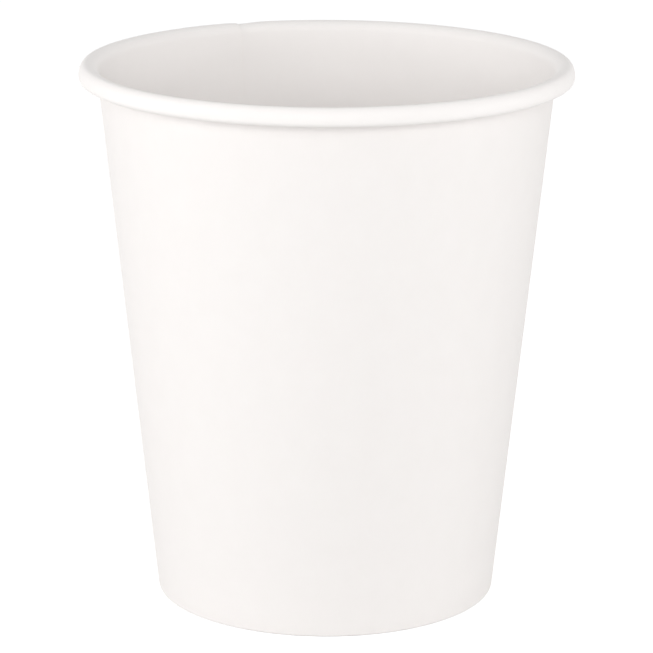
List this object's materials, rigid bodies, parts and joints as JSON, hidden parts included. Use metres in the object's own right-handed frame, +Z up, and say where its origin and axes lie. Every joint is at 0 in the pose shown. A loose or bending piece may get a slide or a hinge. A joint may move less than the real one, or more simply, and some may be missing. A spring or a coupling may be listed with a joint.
{
  "type": "paper cup",
  "caption": "Tapered round paper drinking cup: a wrapped side wall with a rolled rim, a lapped seam and a folded foot, and a recessed base disc sealed into the fold.",
  "frame": {"origin": "centre of the circle on which the cup stands, in the plane of the table", "axes": "+Z up along the cup's axis through its mouth, -Y towards the viewer of the picture, +X to their right; the side seam is on the far side, 23.6 degrees to the left of +Y"},
  "size_m": [0.073, 0.073, 0.0806],
  "materials": {
    "wall_board": "white coated cup board, matt outside and satin where the drink touches it",
    "base_board": "white coated cup board, satin"
  },
  "bodies": {
    "root": {"side_wall": "wall_board", "base_disc": "base_board"}
  },
  "joints": []
}
